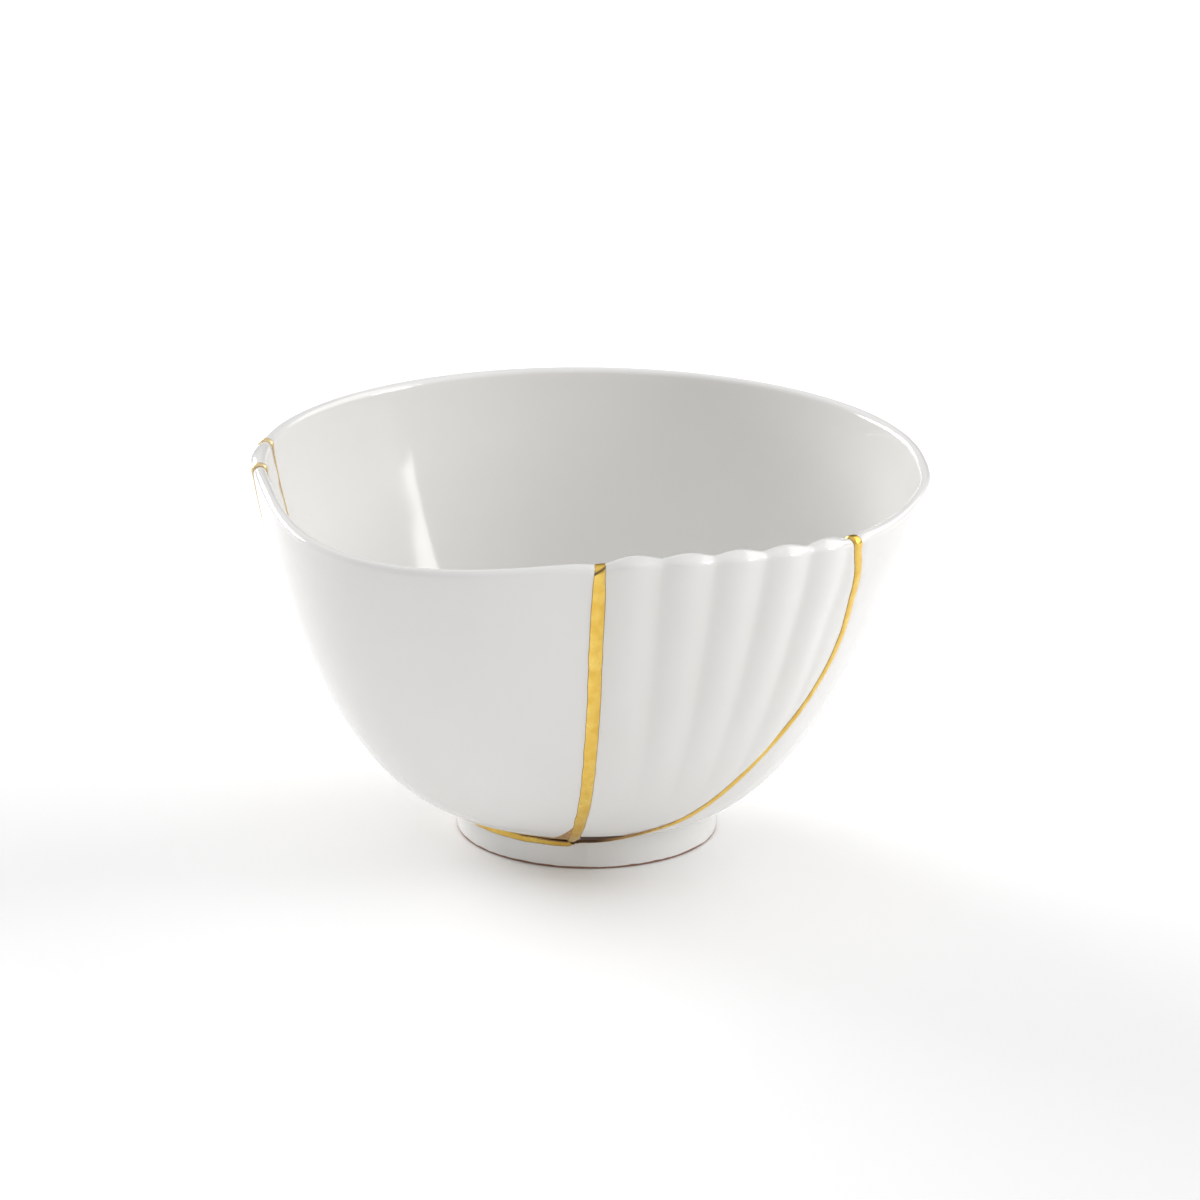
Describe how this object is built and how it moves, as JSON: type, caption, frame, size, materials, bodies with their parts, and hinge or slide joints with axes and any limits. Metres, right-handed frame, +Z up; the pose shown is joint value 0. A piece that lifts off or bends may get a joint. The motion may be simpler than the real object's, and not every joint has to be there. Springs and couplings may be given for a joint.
{
  "type": "fruit bowl",
  "caption": "Deep white glazed porcelain fruit bowl on a small foot ring, with a plain wall, a fluted front shard and raised gold seams where it was mended.",
  "frame": {"origin": "middle of the bounding box at the underside of the foot ring, within 1.3 mm of the foot ring's axis", "axes": "+Z up out of the bowl; -Y towards the front gold seam; +X to the right of someone facing that seam"},
  "size_m": [0.1404, 0.1424, 0.0809],
  "materials": {
    "porcelain": "clear glaze over white porcelain, high gloss",
    "gold": "burnished gold powder over a raised lacquer seam"
  },
  "bodies": {
    "root": {"base_shard": "porcelain", "left_plain_shard": "porcelain", "fluted_shard": "porcelain", "small_rim_shard": "porcelain", "gold_joint": "gold"}
  },
  "joints": []
}
